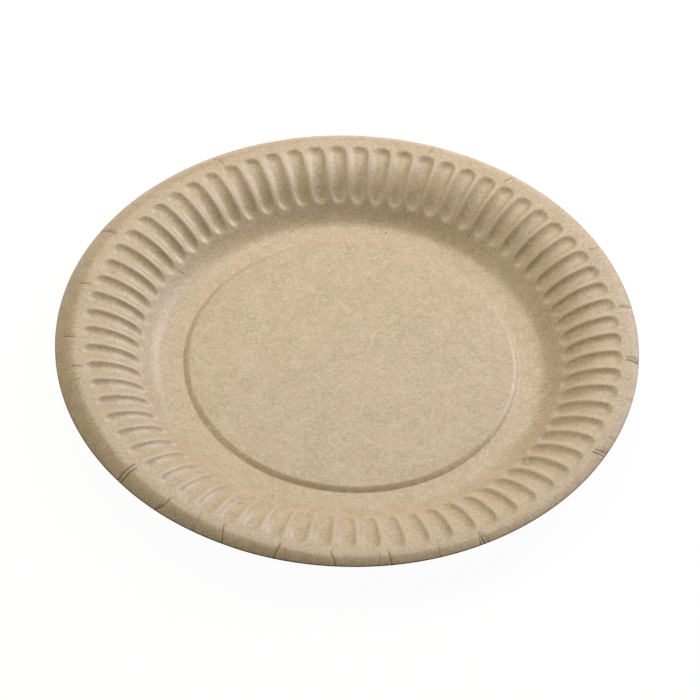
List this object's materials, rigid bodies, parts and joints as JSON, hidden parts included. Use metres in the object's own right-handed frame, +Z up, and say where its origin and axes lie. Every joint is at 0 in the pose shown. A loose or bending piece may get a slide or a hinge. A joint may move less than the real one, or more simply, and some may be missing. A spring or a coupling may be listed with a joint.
{
  "type": "paper plate",
  "caption": "Shallow round plate of pressed kraft paperboard with a raised centre disc, a fluted sloping wall and a rim that turns down.",
  "frame": {"origin": "centre of the cut edge, on the plane of the foot ring", "axes": "+Z up along the plate's axis, -Y towards the viewer of the picture, +X to the right"},
  "size_m": [0.23, 0.23, 0.0163],
  "materials": {
    "board": "uncoated kraft brown, matt with a slight sheen"
  },
  "bodies": {
    "root": {"plate": "board"}
  },
  "joints": []
}
